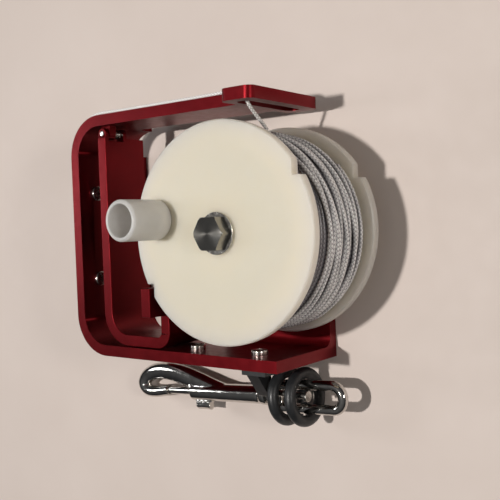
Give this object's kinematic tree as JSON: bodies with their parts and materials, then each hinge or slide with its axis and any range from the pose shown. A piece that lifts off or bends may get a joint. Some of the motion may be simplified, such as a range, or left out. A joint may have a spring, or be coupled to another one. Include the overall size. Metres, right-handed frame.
{
  "type": "dive reel",
  "caption": "Hand-held line reel: bent plate frame with a squeeze handle, flanged spool with winding knob and wound line, and a bolt snap held by two rubber rings.",
  "frame": {"origin": "on the spool's axle at the back face of the frame, which the reel lies on", "axes": "+Z along the axle towards the winding knob, +X from the handle to the open end of the frame, +Y towards the line guide"},
  "size_m": [0.1499, 0.1448, 0.0793],
  "materials": {
    "red_anodised": "satin anodised",
    "steel": "turned",
    "polished_steel": "polished",
    "brass": "machined",
    "white_plastic": "turned, satin",
    "knob_plastic": "satin, milky",
    "line": "braided, silvery",
    "knot": "braided",
    "black_plastic": "moulded",
    "rubber": "moulded"
  },
  "bodies": {
    "frame": {"frame": "red_anodised", "axle_bolt": "steel", "axle_washer": "steel", "axle_bush": "brass", "thrust_washer": "black_plastic", "axle_insert": "steel", "hinge_pin": "steel", "lever_spring": "steel", "handle_screws": "steel", "spare_screw": "steel", "saddle_screw": "steel", "clip_saddle": "black_plastic", "saddle_pin": "steel", "line_free": "line", "line_knot": "knot"},
    "spool": {"spool": "white_plastic", "line_core": "line", "line_winding": "line", "knob_screw": "steel", "knob_insert": "brass"},
    "knob": {"winding_knob": "knob_plastic"},
    "lever": {"ratchet_lever": "red_anodised"},
    "snap_link": {"snap_eye": "polished_steel", "rubber_ring_left": "rubber", "rubber_ring_right": "rubber"},
    "snap": {"snap_body": "polished_steel", "snap_spring": "steel"},
    "gate": {"snap_gate": "polished_steel"}
  },
  "joints": [
    {"name": "spool_spin", "type": "hinge", "parent": "frame", "child": "spool", "pos_m": [0, 0, 0], "axis": [0, 0, 1], "continuous": true},
    {"name": "knob_spin", "type": "hinge", "parent": "spool", "child": "knob", "pos_m": [-0.03207, 0.00641, 0.057], "axis": [0, 0, 1], "continuous": true},
    {"name": "lever_squeeze", "type": "hinge", "parent": "frame", "child": "lever", "pos_m": [-0.078, 0.0479, 0.0377], "axis": [0, 0, 1], "range_deg": [-0.4, 2]},
    {"name": "snap_swing", "type": "hinge", "parent": "frame", "child": "snap_link", "pos_m": [0, -0.071, 0.0192], "axis": [1, 0, 0], "range_deg": [-80, 0]},
    {"name": "snap_swivel", "type": "hinge", "parent": "snap_link", "child": "snap", "pos_m": [0.01, -0.0726, 0.0142], "axis": [0.9937, 0.08, 0.0785], "continuous": true},
    {"name": "gate_slide", "type": "slide", "parent": "snap", "child": "gate", "axis": [0.9937, 0.08, 0.0785], "range_m": [0, 0.012], "deforming": ["snap_spring"]}
  ]
}
